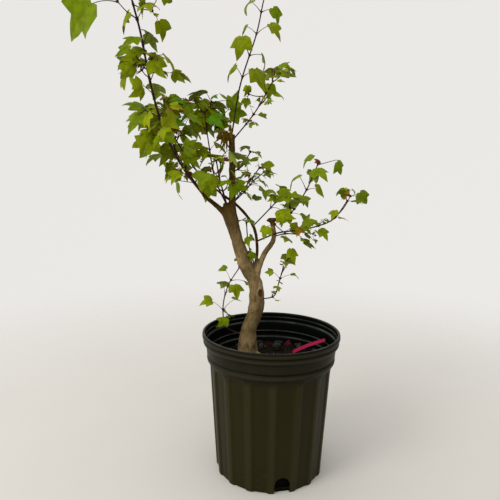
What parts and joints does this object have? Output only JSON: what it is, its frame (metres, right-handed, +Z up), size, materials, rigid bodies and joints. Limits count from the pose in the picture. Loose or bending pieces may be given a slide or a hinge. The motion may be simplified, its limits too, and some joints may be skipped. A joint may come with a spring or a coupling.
{
  "type": "potted trident maple",
  "caption": "Young trident maple with a curved, cut-back trunk and an open crown of leafy shoots, growing in a black fluted nursery pot filled with soil.",
  "frame": {"origin": "centre of the pot's flat underside", "axes": "+Z up, +X to the right of the front view, +Y to the back"},
  "size_m": [0.3437, 0.1889, 0.6339],
  "materials": {
    "pot_plastic": "matte black blown plastic",
    "potting_soil": "dark gritty potting soil",
    "label_plastic": "plain pink plastic strip",
    "trunk_bark": "smooth grey-beige bark",
    "branch_bark": "dark reddish-brown young bark",
    "foliage": "thin green leaves on red-brown twigs"
  },
  "bodies": {
    "root": {"pot": "pot_plastic", "soil": "potting_soil", "plant_label": "label_plastic", "trunk": "trunk_bark", "right_bough": "trunk_bark", "leader": "branch_bark", "crotch_bough": "branch_bark", "left_bough": "branch_bark", "left_leader": "foliage", "left_mid": "foliage", "left_inner": "foliage", "centre_left": "foliage", "front_shoot": "foliage", "right_leader": "foliage", "wilted_tuft": "foliage", "up_right": "foliage", "mid_right": "foliage", "low_mid_right": "foliage", "fork_right": "foliage", "far_right": "foliage", "crotch_shoot": "foliage", "upper_right": "foliage", "stub_twig": "foliage", "low_right": "foliage", "basal_shoot": "foliage", "back_shoot": "foliage", "back_low_shoot": "foliage"}
  },
  "joints": []
}
